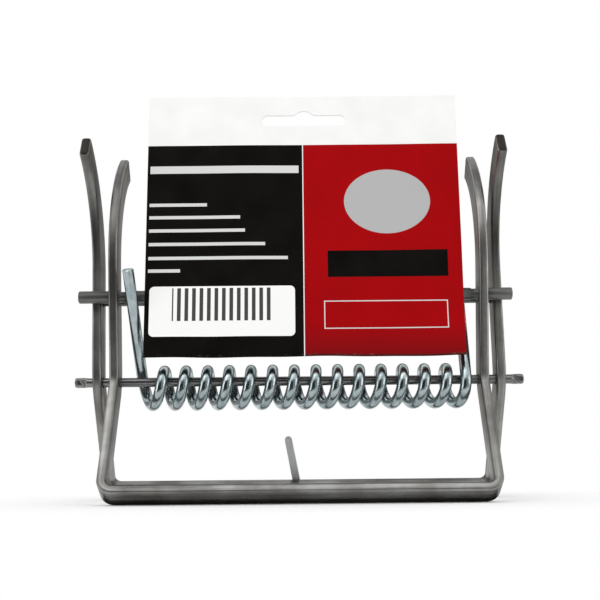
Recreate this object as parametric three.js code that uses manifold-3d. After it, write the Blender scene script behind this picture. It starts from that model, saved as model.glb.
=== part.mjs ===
// Squeeze-handle mole trap: two crossed frames of flat bar on one pivot rod, closed by a torsion spring.
// Millimetres, +X along the pivot rod, +Y away from the viewer, +Z up, origin in the middle of the footprint.
import * as THREE from 'three';
import { mergeVertices } from 'three/addons/utils/BufferGeometryUtils.js';
import Module from 'manifold-3d';

const wasm = await Module();
wasm.setup();

const degree = Math.PI / 180;
const halfTurn = Math.PI;
const quarterTurn = Math.PI / 2;
const fullTurn = Math.PI * 2;

// Clearances
const clearance = 0.3;
const cutOverrun = 1.0;

// Flat bar that both frames are bent from
const barWidth = 8.0;
const barThickness = 3.0;
const barEdgeChamfer = 0.5;
const tipChamfer = 0.9;

// Frames
const outerFrameWidth = 132.0;
const gapBetweenFrames = 2.5;
const handleLength = 41.0;
const handleLean = 31.2 * degree;
const cornerRadius = 3.5;
const kneeRadius = 12.0;
const shankLength = 36.8;
const clawRadius = 38.4;
const clawTurn = 63.2 * degree;
const tipLength = 2.0;
const leftLegLean = 2.4;
const innerFrameWidth = outerFrameWidth - 2 * (barThickness + gapBetweenFrames);
const innerLegFace = innerFrameWidth / 2 - barThickness;

// Round bars
const rodDiameter = 3.0;
const rodLength = 144.0;
const crimpLength = 4.2;
const crimpTipLength = 1.6;
const crimpWideShare = 1.1;
const crimpFlatShare = 0.62;
const crimpTipShare = 0.85;
const crossBarDiameter = 4.0;
const stopBarLength = 139.1;
const stopBarOffset = -1.0;
const stopBarReach = 27.5;
const neckDiameter = 3.4;
const neckLength = 1.9;
const barEndChamfer = 0.5;

// Torsion spring
const wireDiameter = 3.6;
const coilDiameter = 14.7;
const coilPitch = 6.95;
const coilToLeg = 5.2;
const coilSkew = 1.2;
const coilEndShift = 0.8;
const shiftTurns = 0.5;
const leftArmPastBar = 10.3;
const rightArmPastBar = 2.6;
const leftArmSplay = 2.45;
const rightArmSplay = 0.4;
const stepsPerTurn = 8;
const wireSides = 5;

// Catch tongue on the far handle
const tongueWidth = 2.6;
const tongueThickness = 1.2;
const tongueReach = 17.7;
const tongueOffset = -1.3;
const tongueLean = 9.0 * degree;
const pinDiameter = 1.2;
const pinDepth = 3.0;
const pinHeadDiameter = 2.5;
const pinHeadThickness = 0.7;

// Hang card
const cardToLeg = 6.6;
const cardOffset = 1.8;
const cardHeight = 88.8;
const cardThickness = 0.4;
const cardLean = 6.6 * degree;
const cardBelowBar = 20.8;
const cardJoinAboveBar = 14.0;
const creaseRadius = 0.6;
const slotWidth = 27.6;
const slotHeight = 3.8;
const slotOffset = 0.5;
const slotBelowTop = 8.5;
const humpRadius = 3.4;
const humpRise = 1.6;

// Facets
const roundSides = 24;
const bendSteps = 8;
const foldSteps = 8;

// Places worked out from the sizes above
const halfBar = barWidth / 2;
const halfThick = barThickness / 2;
const rodRadius = rodDiameter / 2;
const crossBarRadius = crossBarDiameter / 2;
const wireRadius = wireDiameter / 2;
const coilRadius = (coilDiameter - wireDiameter) / 2;
const coilDrop = coilRadius - wireRadius - rodRadius - clearance;
const coilRightEnd = innerLegFace - coilToLeg;
const coilRoom = 2 * coilRightEnd - coilSkew;
const coilTurns = Math.floor(coilRoom / coilPitch - 0.5) + 0.5;
const cardWidth = 2 * (innerLegFace - cardToLeg);
const footDrop = (halfBar - barEdgeChamfer) * Math.sin(handleLean) + halfThick * Math.cos(handleLean);
const pivotHeight = handleLength * Math.cos(handleLean) + footDrop;
const restAngle = Math.asin((crossBarRadius + halfBar + clearance) / stopBarReach);
const shankLean = restAngle / 2;

// Points in the YZ plane are written as [y, z], measured from the pivot.
function along(lean, length) {
  return [Math.sin(lean) * length, Math.cos(lean) * length];
}

const stopBarPlace = along(-shankLean, stopBarReach);
const outerBarPlace = along(shankLean, stopBarReach);

function steel(color, roughness) {
  return new THREE.MeshStandardMaterial({ color, roughness, metalness: 1.0 });
}

const frameSteel = steel(0x8f8d88, 0.5);
const barSteel = steel(0x77787a, 0.55);
const zincWire = steel(0xa9b6ba, 0.28);
const tongueSteel = steel(0xb4b8b6, 0.4);
const cardBoard = new THREE.MeshStandardMaterial({ color: 0xf2f0ec, roughness: 0.75, metalness: 0.0 });

const trap = new THREE.Group();

function addPart(name, geometry, material) {
  geometry.computeVertexNormals();
  const mesh = new THREE.Mesh(geometry, material);
  mesh.name = name;
  mesh.position.set(0, 0, pivotHeight);
  trap.add(mesh);
}

// Solids and booleans
function toSolid(geometry) {
  const bare = geometry.clone();
  bare.deleteAttribute('normal');
  bare.deleteAttribute('uv');
  const merged = mergeVertices(bare);
  const vertProperties = new Float32Array(merged.attributes.position.array);
  const triVerts = new Uint32Array(merged.index.array);
  return new wasm.Manifold(new wasm.Mesh({ numProp: 3, vertProperties, triVerts }));
}

function toGeometry(solid) {
  const mesh = solid.getMesh();
  const geometry = new THREE.BufferGeometry();
  geometry.setAttribute('position', new THREE.BufferAttribute(new Float32Array(mesh.vertProperties), 3));
  geometry.setIndex(new THREE.BufferAttribute(new Uint32Array(mesh.triVerts), 1));
  return geometry;
}

function cutAll(geometry, cutters) {
  return toGeometry(cutters.reduce((solid, cutter) => solid.subtract(toSolid(cutter)), toSolid(geometry)));
}

// A round cutter or pin along X through the point [y, z]
function cylinderAlongX(radius, length, place) {
  const geometry = new THREE.CylinderGeometry(radius, radius, length, roundSides);
  geometry.rotateZ(quarterTurn);
  geometry.translate(0, place[0], place[1]);
  return geometry;
}

// Closed skin over a row of rings that all have the same number of points
function skinRings(rings) {
  const sides = rings[0].length;
  const positions = rings.flat().flatMap((point) => [point.x, point.y, point.z]);
  const indices = [];
  for (let ring = 0; ring + 1 < rings.length; ring += 1) {
    for (let side = 0; side < sides; side += 1) {
      const next = (side + 1) % sides;
      const a = ring * sides + side;
      const b = ring * sides + next;
      const c = a + sides;
      const d = b + sides;
      indices.push(a, b, d, a, d, c);
    }
  }
  const last = (rings.length - 1) * sides;
  for (let side = 1; side + 1 < sides; side += 1) {
    indices.push(0, side + 1, side);
    indices.push(last, last + side, last + side + 1);
  }
  const geometry = new THREE.BufferGeometry();
  geometry.setAttribute('position', new THREE.Float32BufferAttribute(positions, 3));
  geometry.setIndex(indices);
  return geometry;
}

// Centre line through corner points, each corner rounded to its own radius
function roundedPath(corners, radii) {
  const path = [];
  corners.forEach((corner, index) => {
    const before = corners[index - 1];
    const after = corners[index + 1];
    if (!before || !after) {
      const neighbour = before ?? after;
      const tangent = corner.clone().sub(neighbour).normalize();
      path.push({ point: corner.clone(), tangent: before ? tangent : tangent.negate() });
      return;
    }
    const arrive = corner.clone().sub(before).normalize();
    const leave = after.clone().sub(corner).normalize();
    const turn = arrive.angleTo(leave);
    const radius = radii[index];
    const start = corner.clone().addScaledVector(arrive, -radius * Math.tan(turn / 2));
    const inward = leave.clone().addScaledVector(arrive, -leave.dot(arrive)).normalize();
    const centre = start.clone().addScaledVector(inward, radius);
    for (let step = 0; step <= bendSteps; step += 1) {
      const angle = (turn * step) / bendSteps;
      const point = centre.clone();
      point.addScaledVector(inward, -radius * Math.cos(angle));
      point.addScaledVector(arrive, radius * Math.sin(angle));
      const tangent = arrive.clone().multiplyScalar(Math.cos(angle)).addScaledVector(inward, Math.sin(angle));
      path.push({ point, tangent });
    }
  });
  return path;
}

// Carries a cross direction along a path without twisting it
function carryAcross(path, firstAcross) {
  let across = firstAcross.clone();
  return path.map(({ point, tangent }, index) => {
    if (index > 0) {
      const turn = new THREE.Quaternion().setFromUnitVectors(path[index - 1].tangent, tangent);
      across = across.clone().applyQuaternion(turn);
    }
    return { point, tangent, across: across.clone(), side: tangent.clone().cross(across) };
  });
}

// Frames
function flatBarRing({ point, across, side }, inset) {
  const wide = halfBar - inset;
  const thick = halfThick - inset * (halfThick / halfBar);
  const cut = barEdgeChamfer * (1 - inset / halfBar);
  const outline = [
    [wide, thick - cut],
    [wide - cut, thick],
    [cut - wide, thick],
    [-wide, thick - cut],
    [-wide, cut - thick],
    [cut - wide, -thick],
    [wide - cut, -thick],
    [wide, cut - thick],
  ];
  return outline.map(([w, t]) => point.clone().addScaledVector(across, w).addScaledVector(side, t));
}

// One frame. Facing is 1 for handle near and tips far, and -1 for the mirrored frame.
// Above the pivot the left leg leans out evenly, by leftLean at its tip.
function frameGeometry(width, facing, leftLean) {
  const halfSpan = width / 2 - halfThick;
  const clawReach = clawRadius * Math.tan(clawTurn / 2);
  const toClaw = along(-shankLean, shankLength + clawReach);
  const toTip = along(clawTurn - shankLean, clawReach + tipLength);
  const handleEnd = along(halfTurn + handleLean, handleLength);
  const place = (x, [y, z]) => new THREE.Vector3(x, y * facing, z);
  const tip = [toClaw[0] + toTip[0], toClaw[1] + toTip[1]];
  const leg = [tip, toClaw, [0, 0], handleEnd];
  const right = leg.map((point) => place(halfSpan, point));
  const leanAt = (height) => leftLean * Math.max(0, height / tip[1]);
  const left = leg.map((point) => place(-halfSpan - leanAt(point[1]), point)).reverse();
  const legRadii = [0, clawRadius, kneeRadius, cornerRadius];
  const path = roundedPath([...right, ...left], [...legRadii, ...[...legRadii].reverse()]);
  const across = new THREE.Vector3(1, 0, 0).cross(path[0].tangent);
  const stations = carryAcross(path, across);
  const first = stations[0];
  const last = stations[stations.length - 1];
  const inside = (station, distance) => ({
    ...station,
    point: station.point.clone().addScaledVector(station.tangent, distance),
  });
  const rings = [
    flatBarRing(first, tipChamfer),
    flatBarRing(inside(first, tipChamfer), 0),
    ...stations.slice(1, -1).map((station) => flatBarRing(station, 0)),
    flatBarRing(inside(last, -tipChamfer), 0),
    flatBarRing(last, tipChamfer),
  ];
  return skinRings(rings);
}

function throughHole(radius, place) {
  return cylinderAlongX(radius + clearance, outerFrameWidth + 2 * (leftLegLean + cutOverrun), place);
}

function innerJawFrame() {
  const frame = frameGeometry(innerFrameWidth, 1, 0);
  return cutAll(frame, [throughHole(rodRadius, [0, 0]), throughHole(crossBarRadius, stopBarPlace)]);
}

// The far handle's own directions: down the handle, and across its bar away from the viewer
const handleDown = new THREE.Vector3(0, Math.sin(handleLean), -Math.cos(handleLean));
const handleBack = new THREE.Vector3(0, Math.cos(handleLean), Math.sin(handleLean));

// Point on the far handle bar, by distances along X, across the bar and up the handle
function onFarHandle(x, back, up) {
  const point = handleDown.clone().multiplyScalar(handleLength - up);
  point.addScaledVector(handleBack, back);
  point.x = x;
  return point;
}

// Turns a shape drawn with Y along handleBack into place on the far handle
function setOnFarHandle(geometry, x, back) {
  const turn = new THREE.Matrix4().makeBasis(
    new THREE.Vector3(1, 0, 0),
    handleBack,
    handleDown.clone().negate(),
  );
  geometry.applyMatrix4(turn);
  const place = onFarHandle(x, back, 0);
  geometry.translate(place.x, place.y, place.z);
  return geometry;
}

function outerJawFrame() {
  const frame = frameGeometry(outerFrameWidth, -1, leftLegLean);
  const boreLength = pinDepth + 2 * clearance + cutOverrun;
  const pinBore = new THREE.CylinderGeometry(
    pinDiameter / 2 + clearance,
    pinDiameter / 2 + clearance,
    boreLength,
    roundSides,
  );
  setOnFarHandle(pinBore, tongueOffset, halfBar + cutOverrun - boreLength / 2);
  return cutAll(frame, [
    throughHole(rodRadius, [0, 0]),
    throughHole(crossBarRadius, outerBarPlace),
    pinBore,
  ]);
}

// Round bar along X from stations of place and the two half widths of its section
function roundBar(stations, [y, z]) {
  const rings = stations.map(({ x, flat, tall }) => {
    const ring = [];
    for (let side = 0; side < roundSides; side += 1) {
      const angle = (fullTurn * side) / roundSides;
      ring.push(new THREE.Vector3(x, y + flat * Math.cos(angle), z + tall * Math.sin(angle)));
    }
    return ring;
  });
  return skinRings(rings);
}

function evenStation(x, radius) {
  return { x, flat: radius, tall: radius };
}

function pivotRod() {
  const end = rodLength / 2;
  const crimpStart = end - crimpLength;
  const crimpMiddle = end - (crimpLength + crimpTipLength) / 2;
  const tipStart = end - crimpTipLength;
  const half = [
    evenStation(crimpStart, rodRadius),
    { x: crimpMiddle, flat: rodRadius * crimpFlatShare, tall: rodRadius * crimpWideShare },
    evenStation(tipStart, rodRadius),
    evenStation(end, rodRadius * crimpTipShare),
  ];
  const mirrored = half.map((station) => ({ ...station, x: -station.x })).reverse();
  return roundBar([...mirrored, ...half], [0, 0]);
}

function stopBar() {
  const left = stopBarOffset - stopBarLength / 2;
  const right = stopBarOffset + stopBarLength / 2;
  const neckRadius = neckDiameter / 2;
  const stations = [
    evenStation(left, crossBarRadius - barEndChamfer),
    evenStation(left + barEndChamfer, crossBarRadius),
    evenStation(-innerLegFace, crossBarRadius),
    evenStation(-innerLegFace + barEndChamfer, neckRadius),
    evenStation(-innerLegFace + neckLength, neckRadius),
    evenStation(-innerLegFace + neckLength + barEndChamfer, crossBarRadius),
    evenStation(innerLegFace - neckLength - barEndChamfer, crossBarRadius),
    evenStation(innerLegFace - neckLength, neckRadius),
    evenStation(innerLegFace - barEndChamfer, neckRadius),
    evenStation(innerLegFace, crossBarRadius),
    evenStation(right - barEndChamfer, crossBarRadius),
    evenStation(right, crossBarRadius - barEndChamfer),
  ];
  return roundBar(stations, stopBarPlace);
}

function outerJawBar() {
  const end = outerFrameWidth / 2 - clearance;
  const stations = [
    evenStation(-end, crossBarRadius - barEndChamfer),
    evenStation(-end + barEndChamfer, crossBarRadius),
    evenStation(end - barEndChamfer, crossBarRadius),
    evenStation(end, crossBarRadius - barEndChamfer),
  ];
  return roundBar(stations, outerBarPlace);
}

// Torsion spring: the heading of each straight arm clears its bar and touches the coil's mean circle
function armHeading([barY, barZ], towards) {
  const rise = barZ + coilDrop;
  const reach = Math.hypot(barY, rise);
  const offset = coilRadius + wireRadius + crossBarRadius + clearance;
  return Math.atan2(barY, rise) + towards * Math.asin(offset / reach);
}

const rightHeading = armHeading(outerBarPlace, 1);
const leftHeading = armHeading(stopBarPlace, -1);

// A point of the coil: turn 0 is the front of the right end, and the wire runs down, back and up.
// Each turn stands skewed, its front to the right, and the last half turn at both ends is drawn left.
function coilPoint(turn) {
  const angle = turn * fullTurn;
  const toEnd = Math.min(turn, coilTurns - turn);
  const endShare = Math.max(0, (shiftTurns - toEnd) / shiftTurns);
  const skew = coilSkew * Math.cos(angle);
  const x = coilRightEnd - coilPitch * turn + skew - coilEndShift * endShare * endShare;
  return new THREE.Vector3(x, -coilRadius * Math.cos(angle), -coilDrop - coilRadius * Math.sin(angle));
}

// Straight arm from a coil end to just past its bar, with its end square
function armPoints(start, heading, bar, pastBar, splay) {
  const [sin, cos] = [Math.sin(heading), Math.cos(heading)];
  const reach = (bar[0] - start.y) * sin + (bar[1] - start.z) * cos + pastBar;
  const slope = splay / reach;
  const pointAt = (distance) => new THREE.Vector3(
    start.x + slope * distance,
    start.y + sin * distance,
    start.z + cos * distance,
  );
  return [wireDiameter, reach / 2, reach - wireDiameter, reach].map(pointAt);
}

function springPath() {
  const firstTurn = -rightHeading / fullTurn;
  const lastTurn = coilTurns - leftHeading / fullTurn;
  const wholeSteps = Math.floor(coilTurns * stepsPerTurn);
  const coil = [coilPoint(firstTurn)];
  for (let step = 0; step <= wholeSteps; step += 1) {
    coil.push(coilPoint(step / stepsPerTurn));
  }
  coil.push(coilPoint(lastTurn));
  const rightArm = armPoints(coil[0], rightHeading, outerBarPlace, rightArmPastBar, rightArmSplay);
  const leftStart = coil[coil.length - 1];
  const leftArm = armPoints(leftStart, leftHeading, stopBarPlace, leftArmPastBar, -leftArmSplay);
  return [...rightArm.reverse(), ...coil, ...leftArm];
}

// Least clear distance between stretches of the wire that are at least half a turn apart
function leastGap(points) {
  const apart = halfTurn * coilRadius;
  const lengths = [0];
  for (let i = 1; i < points.length; i += 1) {
    lengths.push(lengths[i - 1] + points[i].distanceTo(points[i - 1]));
  }
  let least = Infinity;
  points.forEach((point, i) => {
    for (let j = i + 1; j < points.length; j += 1) {
      if (lengths[j] - lengths[i] > apart) {
        least = Math.min(least, point.distanceTo(points[j]) - wireDiameter);
      }
    }
  });
  return least;
}

function torsionSpring() {
  const points = springPath();
  console.log(`torsion spring: least gap to itself ${leastGap(points).toFixed(2)} mm`);
  const path = points.map((point, index) => {
    const before = points[Math.max(index - 1, 0)];
    const after = points[Math.min(index + 1, points.length - 1)];
    return { point, tangent: after.clone().sub(before).normalize() };
  });
  const firstAcross = new THREE.Vector3(1, 0, 0).cross(path[0].tangent).normalize();
  const rings = carryAcross(path, firstAcross).map(({ point, across, side }) => {
    const ring = [];
    for (let corner = 0; corner < wireSides; corner += 1) {
      const angle = (fullTurn * corner) / wireSides;
      const vertex = point.clone();
      vertex.addScaledVector(across, wireRadius * Math.cos(angle));
      vertex.addScaledVector(side, wireRadius * Math.sin(angle));
      ring.push(vertex);
    }
    return ring;
  });
  return skinRings(rings);
}

// Catch tongue: a round-ended strip that swings on a pin in the far edge of the far handle bar
function catchTongue() {
  const endRadius = tongueWidth / 2;
  const shape = new THREE.Shape();
  shape.absarc(0, 0, endRadius, halfTurn, fullTurn, false);
  shape.absarc(0, tongueReach - endRadius, endRadius, 0, halfTurn, false);
  shape.closePath();
  const eye = new THREE.Path();
  eye.absarc(0, 0, pinDiameter / 2 + clearance, 0, fullTurn, true);
  shape.holes.push(eye);
  const options = { depth: tongueThickness, bevelEnabled: false, curveSegments: bendSteps };
  const strip = new THREE.ExtrudeGeometry(shape, options);
  strip.rotateZ(tongueLean);
  strip.rotateX(quarterTurn);
  strip.translate(0, tongueThickness, 0);
  return setOnFarHandle(strip, tongueOffset, halfBar + clearance);
}

function tonguePin() {
  const headStart = clearance + tongueThickness + clearance;
  const profile = [
    [0, -pinDepth],
    [pinDiameter / 2, -pinDepth],
    [pinDiameter / 2, headStart],
    [pinHeadDiameter / 2, headStart],
    [pinHeadDiameter / 2, headStart + pinHeadThickness / 2],
    [pinDiameter / 2, headStart + pinHeadThickness],
    [0, headStart + pinHeadThickness],
  ].map(([radius, height]) => new THREE.Vector2(radius, height));
  const pin = new THREE.LatheGeometry(profile, roundSides);
  return setOnFarHandle(pin, tongueOffset, halfBar);
}

// Hang card: one sheet folded under the stop bar and glued to itself above it.
// Its outline is drawn with Y up the card from the fold and X back from its face.
function cardOutline() {
  const loopDepth = 2 * (crossBarRadius + clearance + cardThickness);
  const joinHeight = cardBelowBar + cardJoinAboveBar;
  const straightBottom = cardBelowBar - crossBarRadius;
  const straightTop = cardBelowBar + crossBarRadius;
  const shape = new THREE.Shape();
  shape.moveTo(0, cardHeight);
  shape.lineTo(0, creaseRadius);
  shape.absarc(creaseRadius, creaseRadius, creaseRadius, halfTurn, fullTurn, false);
  shape.lineTo(loopDepth, straightBottom);
  shape.lineTo(loopDepth, straightTop);
  shape.lineTo(2 * cardThickness, joinHeight);
  shape.lineTo(2 * cardThickness, cardHeight);
  shape.closePath();
  const inside = new THREE.Path();
  inside.moveTo(cardThickness, joinHeight);
  inside.lineTo(cardThickness, creaseRadius);
  inside.absarc(creaseRadius, creaseRadius, creaseRadius - cardThickness, halfTurn, fullTurn, false);
  inside.lineTo(loopDepth - cardThickness, straightBottom);
  inside.lineTo(loopDepth - cardThickness, straightTop);
  inside.closePath();
  shape.holes.push(inside);
  return shape;
}

function hangSlot() {
  const end = slotHeight / 2;
  const reach = slotWidth / 2 - end;
  const shape = new THREE.Shape();
  shape.absarc(reach, 0, end, -quarterTurn, quarterTurn, false);
  shape.lineTo(humpRadius, end);
  shape.absarc(0, end + humpRise - humpRadius, humpRadius, quarterTurn / 2, quarterTurn + quarterTurn / 2, false);
  shape.lineTo(-humpRadius, end);
  shape.absarc(-reach, 0, end, quarterTurn, halfTurn + quarterTurn, false);
  shape.closePath();
  const depth = 2 * (cardThickness + cutOverrun);
  const cutter = new THREE.ExtrudeGeometry(shape, { depth, bevelEnabled: false, curveSegments: foldSteps });
  cutter.translate(0, 0, -depth / 2);
  cutter.rotateX(quarterTurn);
  return cutter;
}

function hangCard() {
  const options = { depth: cardWidth, bevelEnabled: false, curveSegments: foldSteps };
  const sheet = new THREE.ExtrudeGeometry(cardOutline(), options);
  const stand = new THREE.Matrix4().makeBasis(
    new THREE.Vector3(0, 1, 0),
    new THREE.Vector3(0, 0, 1),
    new THREE.Vector3(1, 0, 0),
  );
  sheet.applyMatrix4(stand);
  sheet.translate(-cardWidth / 2, 0, 0);
  const slot = hangSlot();
  slot.translate(slotOffset, cardThickness, cardHeight - slotBelowTop);
  const card = cutAll(sheet, [slot]);
  card.translate(cardOffset, -crossBarRadius - clearance - cardThickness, -cardBelowBar);
  card.rotateX(-cardLean);
  card.translate(0, stopBarPlace[0], stopBarPlace[1]);
  return card;
}

addPart('inner_jaw_frame', innerJawFrame(), frameSteel);
addPart('outer_jaw_frame', outerJawFrame(), frameSteel);
addPart('pivot_rod', pivotRod(), barSteel);
addPart('stop_bar', stopBar(), barSteel);
addPart('outer_jaw_bar', outerJawBar(), barSteel);
addPart('torsion_spring', torsionSpring(), zincWire);
addPart('catch_tongue', catchTongue(), tongueSteel);
addPart('tongue_pin', tonguePin(), tongueSteel);
addPart('hang_card', hangCard(), cardBoard);

// The origin is the middle of the trap's footprint
const extent = new THREE.Box3().setFromObject(trap);
const middle = extent.getCenter(new THREE.Vector3());
trap.position.set(-middle.x, -middle.y, -extent.min.z);
trap.updateMatrixWorld(true);
const pivotPlace = trap.children[0].getWorldPosition(new THREE.Vector3());
const tonguePlace = pivotPlace.clone().add(onFarHandle(tongueOffset, halfBar, 0));
console.log(`pivot at ${pivotPlace.toArray().map((value) => value.toFixed(4)).join(', ')}`);
console.log(`tongue pin at ${tonguePlace.toArray().map((value) => value.toFixed(4)).join(', ')}`);

export default trap;
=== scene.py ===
"""Looks of the squeeze-handle mole trap: smooth bent bars, wound spring, folded hang card, white studio."""

import math

import bmesh
import bpy
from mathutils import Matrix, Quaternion, Vector


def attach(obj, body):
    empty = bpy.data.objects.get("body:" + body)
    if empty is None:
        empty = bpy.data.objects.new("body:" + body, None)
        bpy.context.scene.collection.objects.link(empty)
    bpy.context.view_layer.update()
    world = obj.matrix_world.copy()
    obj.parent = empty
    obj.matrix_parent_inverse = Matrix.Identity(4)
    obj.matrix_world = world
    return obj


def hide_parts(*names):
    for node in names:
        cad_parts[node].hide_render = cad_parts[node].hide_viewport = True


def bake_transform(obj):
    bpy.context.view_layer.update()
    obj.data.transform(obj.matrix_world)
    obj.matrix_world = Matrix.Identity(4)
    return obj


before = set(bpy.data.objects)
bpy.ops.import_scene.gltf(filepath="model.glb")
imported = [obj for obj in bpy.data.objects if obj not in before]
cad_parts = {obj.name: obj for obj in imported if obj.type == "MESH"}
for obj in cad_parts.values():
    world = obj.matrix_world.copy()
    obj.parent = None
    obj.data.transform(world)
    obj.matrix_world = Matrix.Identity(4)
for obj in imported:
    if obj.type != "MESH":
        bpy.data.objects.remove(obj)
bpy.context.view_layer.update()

MM = 0.001
TAU = math.tau

# The trap's own sizes in millimetres, as in the part's source
CLEARANCE = 0.3
BAR_WIDTH = 8.0
BAR_THICKNESS = 3.0
OUTER_WIDTH = 132.0
INNER_WIDTH = 121.0
HANDLE_LENGTH = 41.0
HANDLE_LEAN = math.radians(31.2)
CORNER_RADIUS = 3.5
KNEE_RADIUS = 12.0
SHANK_LENGTH = 36.8
CLAW_RADIUS = 38.4
CLAW_TURN = math.radians(63.2)
TIP_LENGTH = 2.0
LEFT_LEAN = 2.4
ROD_RADIUS = 1.5
ROD_LENGTH = 144.0
CROSS_RADIUS = 2.0
STOP_LENGTH = 139.1
STOP_OFFSET = -1.0
STOP_REACH = 27.5
WIRE_RADIUS = 1.8
COIL_RADIUS = 5.55
COIL_PITCH = 6.95
COIL_TURNS = 14.5
COIL_RIGHT = 52.3
COIL_SKEW = 1.2
COIL_SHIFT = 0.8
LEFT_PAST = 10.3
RIGHT_PAST = 2.6
LEFT_SPLAY = 2.45
RIGHT_SPLAY = 0.4
TONGUE_WIDTH = 2.6
TONGUE_THICKNESS = 1.2
TONGUE_REACH = 17.7
TONGUE_OFFSET = -1.3
TONGUE_LEAN = math.radians(9.0)
PIN_RADIUS = 0.6
CARD_WIDTH = 101.8
CARD_OFFSET = 1.8
CARD_HEIGHT = 88.8
CARD_THICKNESS = 0.4
CARD_LEAN = math.radians(6.6)
CARD_BELOW = 20.8
CARD_JOIN = 14.0

PIVOT = Vector((0.0, -0.9843, 38.1661))
REST_ANGLE = math.asin((CROSS_RADIUS + BAR_WIDTH / 2 + CLEARANCE) / STOP_REACH)
SHANK_LEAN = REST_ANGLE / 2
COIL_DROP = COIL_RADIUS - WIRE_RADIUS - ROD_RADIUS - CLEARANCE


# ---------------------------------------------------------------- mesh helpers
FLOW_UNIT = 100  # millimetres in one unit of the flow map
CUT_SHIFT = 10.0  # how far down the flow map the cut ends lie


def new_object(name, verts, faces, uvs, sharp):
    """Object in metres from millimetre points. uvs holds one (u, v) for each corner of each face."""
    mesh = bpy.data.meshes.new(name)
    mesh.from_pydata([Vector(v) * MM for v in verts], [], faces)
    layer = mesh.uv_layers.new(name="flow")
    layer.data.foreach_set("uv", [value for face in uvs for uv in face for value in uv])
    mesh.update()
    obj = bpy.data.objects.new(name, mesh)
    bpy.context.scene.collection.objects.link(obj)
    finish_mesh(obj, sharp)
    return obj


def finish_mesh(obj, sharp):
    """Outward normals, smooth faces, and sharp edges past an angle in degrees."""
    work = bmesh.new()
    work.from_mesh(obj.data)
    bmesh.ops.recalc_face_normals(work, faces=work.faces)
    work.to_mesh(obj.data)
    work.free()
    obj.data.shade_smooth()
    obj.data.set_sharp_from_angle(angle=math.radians(sharp))


def circle(sides):
    """Cosine and sine at each corner of a regular polygon."""
    return [(math.cos(TAU * k / sides), math.sin(TAU * k / sides)) for k in range(sides)]


def carry(path):
    """Adds a cross direction, at first square to X, and a side to each point and tangent, untwisted."""
    across = Vector((1, 0, 0)).cross(path[0][1]).normalized()
    stations = []
    for index, (point, tangent) in enumerate(path):
        if index:
            across = path[index - 1][1].rotation_difference(tangent) @ across
        stations.append((point, tangent, across.copy(), tangent.cross(across)))
    return stations


def sweep(name, rings, travel, sharp=38.0, cut_rings=0):
    """Closed skin over rings with equal numbers of points. travel holds each ring's length for the flow map.
    With cut_rings, the first and last of them and the caps are moved down in the flow map, as cut ends."""
    sides = len(rings[0])
    verts = [point for ring in rings for point in ring]
    middle = rings[len(rings) // 2]
    around = [0.0]
    for side in range(sides):
        around.append(around[-1] + (middle[(side + 1) % sides] - middle[side]).length)
    faces, uvs = [], []
    for ring in range(len(rings) - 1):
        low = CUT_SHIFT if ring < cut_rings or ring >= len(rings) - 1 - cut_rings else 0.0
        u0, u1 = travel[ring] / FLOW_UNIT, travel[ring + 1] / FLOW_UNIT
        for side in range(sides):
            a = ring * sides + side
            b = ring * sides + (side + 1) % sides
            faces.append((a, b, b + sides, a + sides))
            v0, v1 = around[side] / FLOW_UNIT - low, around[side + 1] / FLOW_UNIT - low
            uvs.append(((u0, v0), (u0, v1), (u1, v1), (u1, v0)))
    last = (len(rings) - 1) * sides
    low = CUT_SHIFT if cut_rings else 0.0
    cap = [around[side] / FLOW_UNIT - low for side in range(sides)]
    faces.append(tuple(reversed(range(sides))))
    uvs.append([(travel[0] / FLOW_UNIT, v) for v in reversed(cap)])
    faces.append(tuple(range(last, last + sides)))
    uvs.append([(travel[-1] / FLOW_UNIT, v) for v in cap])
    return new_object(name, verts, faces, uvs, sharp)


def lengths(points):
    """Length along the points up to each of them."""
    total = [0.0]
    for before, after in zip(points, points[1:]):
        total.append(total[-1] + (after - before).length)
    return total


def rounded_path(corners, radii, step=1.5, bend=math.radians(3.0)):
    """Points and tangents along straight stretches and round bends."""
    path = []

    def straight(start, end):
        count = max(int((end - start).length / step), 1)
        tangent = (end - start).normalized()
        for index in range(count):
            path.append((start.lerp(end, index / count), tangent))

    here = corners[0]
    for index in range(1, len(corners) - 1):
        corner = corners[index]
        arrive = (corner - corners[index - 1]).normalized()
        leave = (corners[index + 1] - corner).normalized()
        turn = arrive.angle(leave)
        radius = radii[index]
        start = corner - arrive * radius * math.tan(turn / 2)
        straight(here, start)
        inward = (leave - arrive * leave.dot(arrive)).normalized()
        centre = start + inward * radius
        count = max(int(turn / bend), 6)
        for k in range(count):
            angle = turn * k / count
            point = centre - inward * radius * math.cos(angle) + arrive * radius * math.sin(angle)
            path.append((point, arrive * math.cos(angle) + inward * math.sin(angle)))
        here = centre - inward * radius * math.cos(turn) + arrive * radius * math.sin(turn)
    straight(here, corners[-1])
    path.append((corners[-1].copy(), (corners[-1] - here).normalized()))
    return path


def boolean(obj, cutters, sharp=38.0):
    """Cuts the cutters out of obj and removes them."""
    for cutter in cutters:
        modifier = obj.modifiers.new("cut", "BOOLEAN")
        modifier.operation = "DIFFERENCE"
        modifier.solver = "EXACT"
        modifier.object = cutter
    graph = bpy.context.evaluated_depsgraph_get()
    mesh = bpy.data.meshes.new_from_object(obj.evaluated_get(graph))
    obj.modifiers.clear()
    obj.data = mesh
    for cutter in cutters:
        bpy.data.objects.remove(cutter)
    finish_mesh(obj, sharp)
    return obj


def x_cylinder(name, radius, low, high, y, z):
    rings = [[Vector((x, y + radius * c, z + radius * s)) for c, s in circle(48)] for x in (low, high)]
    return sweep(name, rings, [0.0, high - low])


def along(lean, length):
    """(Y, Z) reached over a length that leans back from upright."""
    return math.sin(lean) * length, math.cos(lean) * length


def ease(value):
    """Smooth step from 0 to 1."""
    value = min(max(value, 0.0), 1.0)
    return value * value * (3 - 2 * value)


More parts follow.
